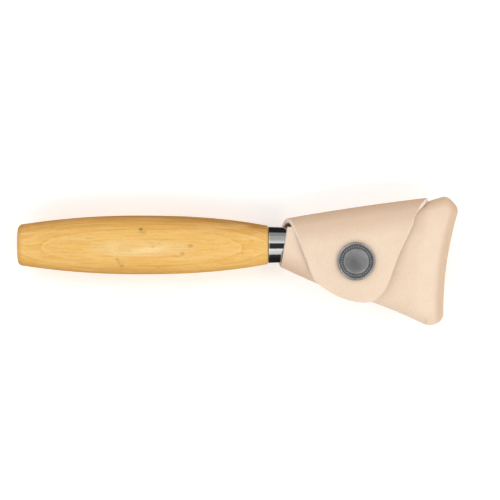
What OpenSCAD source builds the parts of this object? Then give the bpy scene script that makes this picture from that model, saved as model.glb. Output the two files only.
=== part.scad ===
// Hook carving knife with a barrel handle, held in a wrap-round leather sheath
// that closes with one press stud.
// Origin: centre of the handle's flat butt face.
// +X runs along the knife to the tip, +Y across the sheath, +Z out of its front.

/* [Handle] */
// Length of the visible wood
handle_length = 103; // [95:1:110]
// Largest diameter of the barrel
belly_d = 24.2; // [20:0.1:27]
// Place of the largest diameter, from the butt
belly_x = 49.5; // [40:0.5:60]
// Diameter of the butt, before its edge is rounded
butt_d = 16.4; // [14:0.1:20]
// Diameter of the wood where it meets the ferrule
front_d = 15.8; // [15.2:0.1:17]
// Rounding of the butt's edge
butt_round = 2.2; // [0.5:0.1:3]

/* [Ferrule] */
// Length of the steel ferrule
ferrule_length = 9.4; // [8:0.1:12]
// Diameter at the wood
ferrule_d = 14.9; // [14.2:0.1:15]
// Diameter at the front
ferrule_front_d = 14.2; // [13:0.1:14.2]

/* [Blade] */
// Thickness of the steel
blade_thickness = 2.2; // [1.6:0.1:2.6]
// Width of the blade, measured along Z
blade_width = 9.2; // [7:0.1:9.4]
// Width of the tang inside the handle
tang_width = 6; // [4:0.5:8]
// Length of the tang inside the wood
tang_length = 58; // [40:1:80]
// Radius of the hook, to the middle of the steel
hook_r = 12; // [10:0.5:12.5]
// Arc of the hook
hook_arc = 225; // [120:5:240]

/* [Sheath] */
// Thickness of the leather
leather_t = 2; // [1.6:0.1:2]
// Depth of the fold along the sheath's lower edge
bottom_fold_d = 5; // [4:0.5:6]
// Depth of the fold along its upper edge
top_fold_d = 4.5; // [4.5:0.1:6]
// Depth of the tight fold at its end
end_fold_d = 2.4; // [2.4:0.1:3]
// Length of the end wing inside the pouch
wing_length = 17; // [10:1:20]

/* [Snap] */
// Diameter of the cap
cap_d = 15.6; // [12:0.1:16]
// Diameter of the socket under the flap
socket_d = 11.8; // [11:0.1:12.5]
// Diameter of the stud's flange
stud_d = 9.8; // [9:0.1:11]

/* [Hidden] */
$fn = 96;
eps = 0.02;

// Levels of the leather, each an inner face of the pouch or the flap
mouth_z = 7.4;
flat_z = 5.2;
closed_z = 0.2;
back_z = -7.4;
flap_z = 10.2;
axis_z = (flap_z + leather_t + back_z - leather_t) / 2;

// Left and right ends of the upper fold, where its root line lies, and its slight bulge
top_x = [111.2, 168.5];
top_y = [11.0, 19.4];
root_y = [top_y[0] - top_fold_d, top_y[1] - top_fold_d];
top_bulge = 0.4;
// Cross-section of the upper fold: a power under 1 makes it squarer than an ellipse
fold_power = 2 / 2.6;

// Ends of the lower edge
low_x = [108.4, 168.2];
low_y = [-9.3, -33.0];
low_wave = 0.7;

// Lower and upper corners of the mouth, on the front and the back of the sheath
mouth_front_x = [109.7, 111.4];
mouth_back_x = [107.8, 108.6];
// Stretch along X over which the mouth's extra depth runs out
mouth_span = [114, 134];
// How far the front's hidden upper edge stands above the fold's root line
front_lap = 0.5;

// End of the sheath: nearest point of its hollow curve and how fast it flares
end_x = 175.3;
end_y = -27;
end_flare = 0.0036;
end_span = [-29.3, 13.5];
slope_length = 12;
// How much the wing narrows inwards, at its lower and its upper corner
wing_taper = [6.5, 5];

// Upper edge to the right of the flap
tab_x = [169.3, 176.8];
tab_y = [18.1, 20.0];
tab_fold_d = 3;
tab_drop = 3.2;
tab_gap = 0.1;

// Wood inside the ferrule
spigot_d = 13.2;
spigot_length = 8.2;
tang_clearance = 0.05;

// Flap: left and right ends of its root line, and how far the fold's right end steps back
flap_root_x = [114.2, 164.4];
flap_step = top_x[1] - flap_root_x[1];

// Snap: places and radii, and heights over the leather
snap_at = [139, -6.7];
cap_h = 1.5;
cap_rim_h = 1.4;
cap_ring_h = 0.9;
barrel_r = 2.2;
socket_h = 2.4;
socket_bore_r = 3.3;
spring_r = 2.85;
spring_wire_r = 0.27;
stud_h = 2.2;
stud_neck_r = 2.35;
stud_head_r = 2.9;
stud_hole_r = 1.95;
post_r = 1.9;
post_flange_r = 4.35;
post_flange_h = 0.35;
fit_gap = 0.05;

function mix(a, b, t) = a + (b - a) * t;
function clamp01(t) = min(1, max(0, t));
function smooth(t) = let (c = clamp01(t)) c * c * (3 - 2 * c);

// A closed sheet of any thickness: point(u, v, w) with w = 0 on one skin and 1 on the other
module sheet(point, nu, nv) {
    skin = [for (w = [0, 1]) for (i = [0 : nu]) for (j = [0 : nv]) point(i / nu, j / nv, w)];
    row = nv + 1;
    side = (nu + 1) * row;
    faces = concat(
        [for (i = [0 : nu - 1]) for (j = [0 : nv - 1]) let (a = i * row + j)
            each [[a, a + 1, a + row], [a + 1, a + row + 1, a + row]]],
        [for (i = [0 : nu - 1]) for (j = [0 : nv - 1]) let (a = side + i * row + j)
            each [[a, a + row, a + 1], [a + 1, a + row, a + row + 1]]],
        [for (j = [0 : nv - 1]) for (i = [0, nu]) let (a = i * row + j)
            each i == 0 ? [[a, a + side, a + 1], [a + 1, a + side, a + side + 1]]
                        : [[a, a + 1, a + side], [a + 1, a + side + 1, a + side]]],
        [for (i = [0 : nu - 1]) for (j = [0, nv]) let (a = i * row + j)
            each j == 0 ? [[a, a + row, a + side], [a + row, a + side + row, a + side]]
                        : [[a, a + side, a + row], [a + row, a + side, a + side + row]]]);
    polyhedron(points = skin, faces = faces, convexity = 8);
}

// Edges of the sheath
function top_t(x) = (x - top_x[0]) / (top_x[1] - top_x[0]);
function fold_root_y(x) = mix(root_y[0], root_y[1], top_t(x));
function fold_depth(x) = top_fold_d + 4 * top_bulge * max(0, top_t(x) * (1 - top_t(x)));
function low_t(x) = (x - low_x[0]) / (low_x[1] - low_x[0]);
function lower_y(x) = mix(low_y[0], low_y[1], low_t(x)) - low_wave * sin(360 * clamp01(low_t(x)));
function outer_x(y) = end_x + end_flare * pow(y - end_y, 2);
function tab_edge_y(x) = mix(tab_y[0], tab_y[1], (x - tab_x[0]) / (tab_x[1] - tab_x[0]));

// How far the pouch is open at a point: 1 over the blade, 0 at the end fold
function opening(x, y) =
    smooth((outer_x(y) - x - end_fold_d) / (slope_length - end_fold_d));
function mouth_rise(x) =
    (mouth_z - flat_z) * (1 - smooth((x - mouth_span[0]) / (mouth_span[1] - mouth_span[0])));
function front_inner_z(x, y) = mix(closed_z, flat_z + mouth_rise(x), opening(x, y));
function wing_inner_z(x, y) = -mix(closed_z, flat_z + 0.1, opening(x, y));

// Wood: two half-barrels that meet at the belly
function barrel_r_at(x) = x < belly_x
    ? belly_d / 2 - (belly_d - butt_d) / 2 * pow((belly_x - x) / belly_x, 2.05)
    : belly_d / 2 - (belly_d - front_d) / 2 * pow((x - belly_x) / (handle_length - belly_x), 2.4);

module handle() {
    rise = barrel_r_at(butt_round) - butt_round;
    butt = [for (a = [0 : 15 : 90]) [rise + butt_round * sin(a), butt_round * (1 - cos(a))]];
    side = [for (i = [1 : 34]) let (x = mix(butt_round, handle_length - 0.4, i / 34)) [barrel_r_at(x), x]];
    front = [[front_d / 2 - 0.25, handle_length - 0.1], [front_d / 2 - 0.4, handle_length]];
    spigot = [[spigot_d / 2, handle_length], [spigot_d / 2, handle_length + spigot_length]];
    slot = [tang_length + spigot_length + 1, blade_thickness + 2 * tang_clearance,
            tang_width + 2 * tang_clearance];
    color("goldenrod")
    difference() {
        rotate([0, 90, 0])
        rotate_extrude()
        polygon(concat([[0, 0]], butt, side, front, spigot, [[0, handle_length + spigot_length]]));
        translate([handle_length - tang_length - 0.5, -slot.y / 2, -slot.z / 2])
        cube([slot.x, slot.y, slot.z]);
    }
}

module ferrule() {
    outer = ferrule_d / 2;
    nose = ferrule_front_d / 2;
    wall_in = spigot_d / 2 + eps;
    slot = [3, blade_thickness + 4 * fit_gap, blade_width + 4 * fit_gap];
    color("silver")
    difference() {
        translate([handle_length, 0, 0])
        rotate([0, 90, 0])
        rotate_extrude()
        polygon([[wall_in, eps], [outer, eps], [outer, 0.8], [nose, ferrule_length - 0.9],
                 [nose - 0.25, ferrule_length - 0.3], [nose - 0.9, ferrule_length], [0, ferrule_length],
                 [0, spigot_length + 0.1], [wall_in, spigot_length + 0.1]]);
        translate([handle_length + ferrule_length - 2, -slot.y / 2, -slot.z / 2])
        cube(slot);
    }
}

// Middle line of the steel: straight shank, slight set back, then the hook.
// The grind fades in over the first share of the curve; the back drops to a point after the second.
hook_at = [150, -7];
set_r = 25;
grind_from = 0.25;
point_from = 0.4;
point_w = 1.2;
bevel_w = 3.4;
set_x = hook_at.x - sqrt(pow(hook_r + set_r, 2) - pow(set_r - hook_at.y, 2));
set_angle = atan2(hook_at.x - set_x, set_r - hook_at.y);
shank_x = handle_length + ferrule_length - 1;

// Each station: [x, y, heading, how far along the ground part from 0 to 1]
set_stations = [for (i = [0 : 5]) let (a = set_angle * i / 5)
    [set_x + set_r * sin(a), set_r * (1 - cos(a)), a, grind_from * i / 5]];
hook_stations = [for (i = [1 : 30]) let (t = i / 30, a = 90 + set_angle - hook_arc * t)
    [hook_at.x + hook_r * cos(a), hook_at.y + hook_r * sin(a), a - 90, mix(grind_from, 1, t)]];

// Section of the steel: back at +Z, edge at -Z, ground on the outside of the hook
function blade_section(s) =
    let (p = s[3],
         grind = smooth(p / grind_from),
         half = blade_width / 2,
         h = blade_thickness / 2,
         back = half - (blade_width - point_w) * pow(clamp01((p - point_from) / (1 - point_from)), 2.2),
         bevel = min(bevel_w * grind + 0.2, (back + half) * 0.8),
         dir = [-sin(s[2]), cos(s[2])],
         place = function (n, z) [s[0] + dir.x * n, s[1] + dir.y * n, z])
    [place(-h, back), place(h, back), place(h, bevel - half), place(mix(h, 0.3 - h, grind), -half),
     place(-h, -half)];

module blade() {
    start = [[shank_x, 0, 0, 0]];
    rings = [for (s = concat(start, set_stations, hook_stations)) blade_section(s)];
    n = len(rings[0]);
    last = len(rings) - 1;
    faces = concat(
        [[for (j = [n - 1 : -1 : 0]) j]],
        [[for (j = [0 : n - 1]) last * n + j]],
        [for (i = [0 : last - 1]) for (j = [0 : n - 1]) let (k = (j + 1) % n)
            each [[i * n + j, i * n + k, (i + 1) * n + j], [i * n + k, (i + 1) * n + k, (i + 1) * n + j]]]);
    color("gainsboro") {
        polyhedron(points = [for (r = rings) each r], faces = faces, convexity = 6);
        translate([handle_length - tang_length, -blade_thickness / 2, -tang_width / 2])
        cube([tang_length + ferrule_length - 1 + eps, blade_thickness, tang_width]);
    }
}

// Front of the pouch, from the mouth to the end fold
function front_top_y(x) = x < tab_x[0]
    ? min(fold_root_y(x) + front_lap, tab_y[0] - tab_fold_d - tab_gap)
    : tab_edge_y(min(x, tab_x[1])) - tab_fold_d - tab_gap;
function front_low_y(x) = lower_y(min(x, low_x[1])) + bottom_fold_d;
function front_end_x(y) = outer_x(y) - end_fold_d;
front_steps = [24, 8];
function front_point(u, v, w) =
    let (xb = mix(mouth_front_x[0], front_end_x(end_span[0]), u),
         xt = mix(mouth_front_x[1], front_end_x(end_span[1] + tab_fold_d), u),
         y = mix(front_low_y(xb), front_top_y(xt), v),
         x = min(mix(xb, xt, v), front_end_x(y)))
    [x, y, front_inner_z(x, y) + w * leather_t];

module front_panel() {
    color("bisque")
    difference() {
        sheet(function (u, v, w) front_point(u, v, w), front_steps[0], front_steps[1]);
        translate([snap_at.x, snap_at.y, flat_z - 1])
        cylinder(r = post_r + fit_gap, h = leather_t + 2);
    }
}

// Lower fold, from the front round to the back
function bottom_point(u, v, w) =
    let (a = 90 + 180 * v,
         x = mix(mix(mouth_front_x[0], mouth_back_x[0], v), low_x[1], u),
         top = front_inner_z(x, front_low_y(x)),
         mid = (top + back_z) / 2,
         depth = bottom_fold_d - leather_t * (1 - w),
         half = (top - back_z) / 2 + leather_t * w)
    [x, front_low_y(x) + depth * cos(a), mid + half * sin(a)];

module bottom_fold() {
    color("burlywood")
    sheet(function (u, v, w) bottom_point(u, v, w), 12, 12);
}

// Back of the pouch: one flat panel
module back_panel() {
    low = [for (i = [0 : 12]) let (x = mix(mouth_back_x[0], low_x[1], i / 12)) [x, front_low_y(x)]];
    top = [for (x = [top_x[1], mouth_back_x[1]]) [x, fold_root_y(x)]];
    color("wheat")
    translate([0, 0, back_z - leather_t])
    linear_extrude(leather_t)
    polygon(concat(low, top));
}

// End wing: tight fold at the end of the sheath, then in behind the blade
fold_steps = 8;
wing_steps = 8;
function wing_edge(y, k) =
    mix(end_span[0] + wing_taper[0] * k, end_span[1] - wing_taper[1] * k,
        (y - end_span[0]) / (end_span[1] - end_span[0]));
function wing_point(u, v, w) =
    let (n = fold_steps + wing_steps,
         step = u * n,
         y0 = mix(end_span[0], end_span[1], v),
         k = max(0, step - fold_steps) / wing_steps,
         y = wing_edge(y0, k),
         a = 90 - 180 * min(1, step / fold_steps),
         depth = end_fold_d - leather_t * (1 - w),
         half = closed_z + leather_t * w,
         x = outer_x(y) - end_fold_d - k * (wing_length - end_fold_d))
    step <= fold_steps
        ? [outer_x(y0) - end_fold_d + depth * cos(a), y0, half * sin(a)]
        : [x, y, wing_inner_z(x, y) - w * leather_t];

module end_wing() {
    color("tan")
    sheet(function (u, v, w) wing_point(u, 1 - v, w), fold_steps + wing_steps, 8);
}

// Short tab that folds in at the top of the end, beside the flap
function tab_point(u, v, w) =
    let (n = fold_steps + 2,
         step = v * n,
         x = mix(tab_x[0], tab_x[1], u),
         y = tab_edge_y(x) - tab_fold_d,
         top = front_inner_z(x, y),
         low = wing_inner_z(x, y),
         mid = (top + low) / 2,
         a = 90 - 180 * min(1, step / fold_steps),
         depth = tab_fold_d - leather_t * (1 - w),
         half = (top - low) / 2 + leather_t * w,
         k = max(0, step - fold_steps) / 2,
         yk = y - k * tab_drop)
    [x, step <= fold_steps ? y + depth * cos(a) : yk,
        step <= fold_steps ? mid + half * sin(a) : wing_inner_z(x, yk) - w * leather_t];

module top_tab() {
    color("tan")
    sheet(function (u, v, w) tab_point(u, v, w), 6, fold_steps + 2);
}

// Upper fold, from the back round to the flap. Its cut ends lean in towards the flap.
function signed_pow(c, p) = sign(c) * pow(abs(c), p);
function fold_point(u, v, w) =
    let (a = -90 + 180 * v,
         left = mix(mouth_back_x[1], flap_root_x[0], v),
         right = top_x[1] - flap_step * pow(max(0, 2 * v - 1), 1.5),
         x = mix(left, right, u),
         depth = fold_depth(x) - leather_t * (1 - w),
         half = (flap_z - back_z) / 2 + leather_t * w)
    [x, fold_root_y(x) + depth * signed_pow(cos(a), fold_power),
        axis_z + half * signed_pow(sin(a), fold_power)];

module flap_fold() {
    color("burlywood")
    sheet(function (u, v, w) fold_point(u, v, w), 14, 16);
}

// Flap: a tongue with a lopsided round end, over the front
flap_left = [[116.1, 2.5], [117.7, -1.6], [120.8, -9.6], [124.1, -15.9]];
flap_tip = [[127.1, -18.3], [130.3, -20.1], [133.4, -21.5], [137, -22.6], [141, -23.2],
            [144.5, -23.2], [147, -22.1], [148.9, -20.7], [150.8, -18.2]];
flap_right = [[152.5, -14.8], [154.2, -10.2], [155.9, -5.2], [159.7, 3.3], [161.3, 7.5],
              [163, 12.1]];

module flap() {
    root = [for (x = [flap_root_x[1], flap_root_x[0]]) [x, fold_root_y(x)]];
    color("bisque")
    translate([0, 0, flap_z])
    linear_extrude(leather_t)
    difference() {
        polygon(concat(flap_left, flap_tip, flap_right, root));
        translate(snap_at)
        circle(r = barrel_r + fit_gap);
    }
}

// Every snap part is turned about the snap's axis, with its heights from a level of the leather
module turned_at(level) {
    translate([snap_at.x, snap_at.y, level])
    rotate_extrude()
    children();
}

// Cap: rolled rim, sunk ring, low dome, and the barrel through the leather
module snap_cap() {
    r = cap_d / 2;
    foot = -leather_t - 0.3;
    color("dimgray")
    turned_at(flap_z + leather_t)
    polygon([[0, foot], [barrel_r, foot], [barrel_r, 0], [r - 0.5, 0], [r - 0.1, 0.3], [r, 0.75],
             [r - 0.12, 1.15], [r - 0.5, cap_rim_h], [r - 0.8, 1.25], [r - 0.95, cap_ring_h],
             [r - 2.5, cap_ring_h], [r - 2.75, 1.1], [3.4, 1.35], [1.7, 1.48], [0, cap_h]]);
}

// Socket: pressed over the barrel, open towards the stud
module snap_socket() {
    r = socket_d / 2;
    hole = barrel_r + eps;
    color("silver")
    turned_at(flap_z)
    polygon([[hole, 0], [r - 0.3, 0], [r, -0.3], [r, -1.0], [r - 1.3, -1.6], [r - 1.6, -socket_h],
             [socket_bore_r, -socket_h], [socket_bore_r + fit_gap, -0.45], [hole, -0.45]]);
}

// Open wire ring in the socket that grips the stud's neck
module snap_spring() {
    gap_angle = 40;
    color("gray")
    translate([snap_at.x, snap_at.y, flap_z - socket_h + spring_wire_r + 0.03])
    rotate([0, 0, gap_angle / 2])
    rotate_extrude(angle = 360 - gap_angle)
    translate([spring_r, 0])
    circle(r = spring_wire_r, $fn = 24);
}

// Stud on the front panel: flange, neck and bulged head, hollow for the post
module snap_stud() {
    r = stud_d / 2;
    color("silver")
    turned_at(flat_z + leather_t)
    polygon([[stud_hole_r, 0], [r - 0.15, 0], [r, 0.15], [r - 0.15, 0.3], [stud_neck_r + 0.3, 0.35],
             [stud_neck_r, 0.6], [stud_neck_r, 1.1], [stud_head_r, 1.5], [stud_head_r, 1.8],
             [stud_head_r - 0.5, stud_h - 0.05], [0, stud_h], [0, 1.85], [stud_hole_r, 1.7]]);
}

// Post that holds the stud from inside the pouch
module snap_post() {
    reach = leather_t + 1.5;
    color("silver")
    turned_at(flat_z)
    polygon([[0, -post_flange_h], [post_flange_r - 0.15, -post_flange_h], [post_flange_r, -0.2],
             [post_flange_r - 0.15, 0], [post_r, 0], [post_r, reach], [0, reach]]);
}

handle();
ferrule();
blade();
front_panel();
bottom_fold();
back_panel();
end_wing();
top_tab();
flap_fold();
flap();
snap_cap();
snap_socket();
snap_spring();
snap_stud();
snap_post();
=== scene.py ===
"""Hook carving knife in a wrap-round leather sheath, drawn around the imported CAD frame.

Lengths are worked out in millimetres, in the row frame: +X along the knife, +Y across the
sheath, +Z out of its front. They turn into metres when a mesh is made.
"""
import math
from math import cos, radians, sin

import bmesh
import bpy
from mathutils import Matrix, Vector, noise


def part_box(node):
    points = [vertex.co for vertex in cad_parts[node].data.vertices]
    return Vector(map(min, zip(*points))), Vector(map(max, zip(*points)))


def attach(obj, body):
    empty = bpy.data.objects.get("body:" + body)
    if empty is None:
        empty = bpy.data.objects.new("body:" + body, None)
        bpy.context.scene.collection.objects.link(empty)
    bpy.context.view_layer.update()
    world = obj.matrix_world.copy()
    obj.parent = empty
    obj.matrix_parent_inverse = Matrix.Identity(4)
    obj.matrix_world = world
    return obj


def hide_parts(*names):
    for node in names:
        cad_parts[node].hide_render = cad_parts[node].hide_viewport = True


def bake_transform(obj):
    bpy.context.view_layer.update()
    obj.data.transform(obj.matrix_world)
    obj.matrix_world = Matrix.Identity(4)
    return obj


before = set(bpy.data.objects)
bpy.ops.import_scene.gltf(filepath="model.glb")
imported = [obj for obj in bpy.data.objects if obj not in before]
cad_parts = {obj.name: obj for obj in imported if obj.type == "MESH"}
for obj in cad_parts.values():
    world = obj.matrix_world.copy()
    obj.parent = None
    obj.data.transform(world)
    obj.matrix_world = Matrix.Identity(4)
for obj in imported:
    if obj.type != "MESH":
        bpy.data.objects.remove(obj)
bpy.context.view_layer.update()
MM = 0.001


def box_mm(node):
    """Lowest and highest corner of a CAD node, in millimetres."""
    low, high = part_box(node)
    return Vector(low) / MM, Vector(high) / MM


# ---- sizes from the frame

handle_lo, handle_hi = box_mm("handle")
ferrule_lo, ferrule_hi = box_mm("ferrule")
flap_lo, flap_hi = box_mm("flap")
back_lo, back_hi = box_mm("back_panel")
cap_lo, cap_hi = box_mm("snap_cap")
stud_lo, stud_hi = box_mm("snap_stud")

leather_t = flap_hi.z - flap_lo.z           # thickness of the leather
half_t = leather_t / 2
flap_mid_z = (flap_lo.z + flap_hi.z) / 2    # middle of the flap's leather
back_mid_z = (back_lo.z + back_hi.z) / 2    # middle of the back panel's leather
hinge_z = (flap_mid_z + back_mid_z) / 2
front_z = stud_lo.z - half_t                # middle of the front panel, over the blade
snap_x = (cap_lo.x + cap_hi.x) / 2
snap_y = (cap_lo.y + cap_hi.y) / 2
handle_end = ferrule_lo.x
belly_r = (handle_hi.z - handle_lo.z) / 2
mouth_z = -back_mid_z                       # the pouch is as deep in front as behind at its mouth


# ---- small maths


def mix(a, b, t):
    return a + (b - a) * t


def clamp01(t):
    return min(1.0, max(0.0, t))


def smooth(t):
    c = clamp01(t)
    return c * c * (3 - 2 * c)


def bent(c, p):
    """c raised to p, keeping its sign."""
    return math.copysign(abs(c) ** p, c)


def spline(points, t):
    """Point at t, from 0 to 1, on a smooth curve through given points, even in length."""
    pts = [Vector(p) for p in points]
    spans = [(b - a).length for a, b in zip(pts, pts[1:])]
    left = clamp01(t) * sum(spans)
    k = 0
    while k < len(spans) - 1 and left > spans[k]:
        left -= spans[k]
        k += 1
    s = clamp01(left / spans[k])
    p1, p2 = pts[k], pts[k + 1]
    p0 = pts[k - 1] if k > 0 else p1 * 2 - p2
    p3 = pts[k + 2] if k + 2 < len(pts) else p2 * 2 - p1
    return 0.5 * (2 * p1 + (p2 - p0) * s + (2 * p0 - 5 * p1 + 4 * p2 - p3) * s * s
                  + (3 * p1 - p0 - 3 * p2 + p3) * s * s * s)


# ---- node materials


class Nodes:
    """Short way to build a node material."""

    def __init__(self, name):
        self.mat = bpy.data.materials.new(name)
        self.mat.use_nodes = True
        self.tree = self.mat.node_tree
        self.tree.nodes.clear()
        self.out = self.tree.nodes.new("ShaderNodeOutputMaterial")
        self.bsdf = self.tree.nodes.new("ShaderNodeBsdfPrincipled")
        self.tree.links.new(self.bsdf.outputs[0], self.out.inputs[0])

    def add(self, kind, **settings):
        node = self.tree.nodes.new("ShaderNode" + kind)
        for key, value in settings.items():
            setattr(node, key, value)
        return node

    def link(self, source, target):
        self.tree.links.new(source, target)

    def put(self, socket, value):
        """Links a socket or sets a number."""
        if isinstance(value, bpy.types.NodeSocket):
            self.link(value, socket)
        else:
            socket.default_value = value

    def coords(self, scale=(1, 1, 1), offset=(0, 0, 0)):
        """Object coordinates in millimetres, times scale, plus offset."""
        tex = self.add("TexCoord")
        mapping = self.add("Mapping")
        mapping.inputs["Scale"].default_value = [s / MM for s in scale]
        mapping.inputs["Location"].default_value = offset
        self.link(tex.outputs["Object"], mapping.inputs["Vector"])
        return mapping.outputs[0]

    def noise(self, vector, scale, detail=3, rough=0.5, distort=0.0):
        n = self.add("TexNoise")
        self.link(vector, n.inputs["Vector"])
        n.inputs["Scale"].default_value = scale
        n.inputs["Detail"].default_value = detail
        n.inputs["Roughness"].default_value = rough
        n.inputs["Distortion"].default_value = distort
        return n.outputs["Fac"]

    def cells(self, vector, scale):
        n = self.add("TexVoronoi")
        self.link(vector, n.inputs["Vector"])
        n.inputs["Scale"].default_value = scale
        return n.outputs["Distance"]

    def math(self, how, a, b=0.0, c=0.0):
        n = self.add("Math", operation=how)
        for socket, value in zip(n.inputs, (a, b, c)):
            self.put(socket, value)
        return n.outputs[0]

    def ramp(self, value, stops):
        """Colour ramp: stops are (place, colour) with a grey number or three parts."""
        n = self.add("ValToRGB")
        while len(n.color_ramp.elements) < len(stops):
            n.color_ramp.elements.new(0.5)
        for element, (place, colour) in zip(n.color_ramp.elements, stops):
            element.position = place
            rgb = (colour,) * 3 if isinstance(colour, (int, float)) else colour
            element.color = (*rgb, 1)
        self.put(n.inputs[0], value)
        return n.outputs[0]

    def blend(self, factor, a, b, how="MIX"):
        n = self.add("Mix", data_type="RGBA", blend_type=how)
        self.put(n.inputs["Factor"], factor)
        for socket, value in ((n.inputs[6], a), (n.inputs[7], b)):
            self.put(socket, value if isinstance(value, bpy.types.NodeSocket) else (*value, 1))
        return n.outputs[2]

    def times(self, colour, tint):
        return self.blend(1.0, colour, tint, "MULTIPLY")

    def attribute(self, name):
        return self.add("Attribute", attribute_name=name).outputs["Fac"]

    def split(self, vector):
        n = self.add("SeparateXYZ")
        self.link(vector, n.inputs[0])
        return n.outputs

    def bump(self, height, depth):
        """Bump of a depth in millimetres."""
        n = self.add("Bump")
        n.inputs["Strength"].default_value = 1.0
        n.inputs["Distance"].default_value = depth * MM
        self.put(n.inputs["Height"], height)
        return n.outputs[0]

    def finish(self, colour, roughness, normal=None, **fixed):
        self.put(self.bsdf.inputs["Base Color"],
                 colour if isinstance(colour, bpy.types.NodeSocket) else (*colour, 1))
        self.put(self.bsdf.inputs["Roughness"], roughness)
        if normal is not None:
            self.link(normal, self.bsdf.inputs["Normal"])
        for key, value in fixed.items():
            self.bsdf.inputs[key.replace("_", " ")].default_value = value
        return self.mat


# One growth ring's edge, as a height over the axis, and the thickness of a ring
RING_AT = 9.75
RING_STEP = 1.72
# How far the rings tilt across the handle, and how far the innermost one is set back
RING_TILT = -0.10
CORE_SET_BACK = -0.75
# The pale top of the barrel, partly pale outer wood and partly a painted highlight: the height where it
# begins to show, and the height over which it builds up
PALE_HIGHLIGHT_AT = 9.74
PALE_HIGHLIGHT_SPAN = 2.0
# Inside this radius, on the butt's end, the darker sides of the barrel fade out: painted shade, with some
# real darkening of the edge grain
BUTT_CORE = 7.5
# Length from the butt over which the end grain's darker tone fades out
BUTT_FADE = 10.0
# How much further in the painted shade on the upper side reaches at the ferrule than at the butt
UPPER_SHADE_FRONT_REACH = 0.16

# Marks in the wood: place along and across, half length and half width, strength
KNOTS = [
    ((50.9, 6.4), (1.1, 0.8), 1.0), ((51.8, 5.2), (2.4, 1.6), 0.30), ((71.3, -0.4), (1.5, 0.9), 0.55),
    ((67.9, -3.6), (1.3, 1.0), 0.50), ((65.3, -4.6), (3.2, 0.7), 0.30), ((41.2, -5.9), (1.2, 0.7), 0.42),
    ((43.0, -8.6), (1.3, 0.8), 0.45), ((42.0, -7.2), (1.4, 1.2), 0.25), ((55.9, -0.8), (0.8, 0.6), 0.35),
    ((30.0, 2.5), (1.8, 0.4), 0.20), ((92.6, -3.4), (0.8, 0.5), 0.35), ((58.0, -9.3), (2.0, 0.5), 0.25)]


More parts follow.
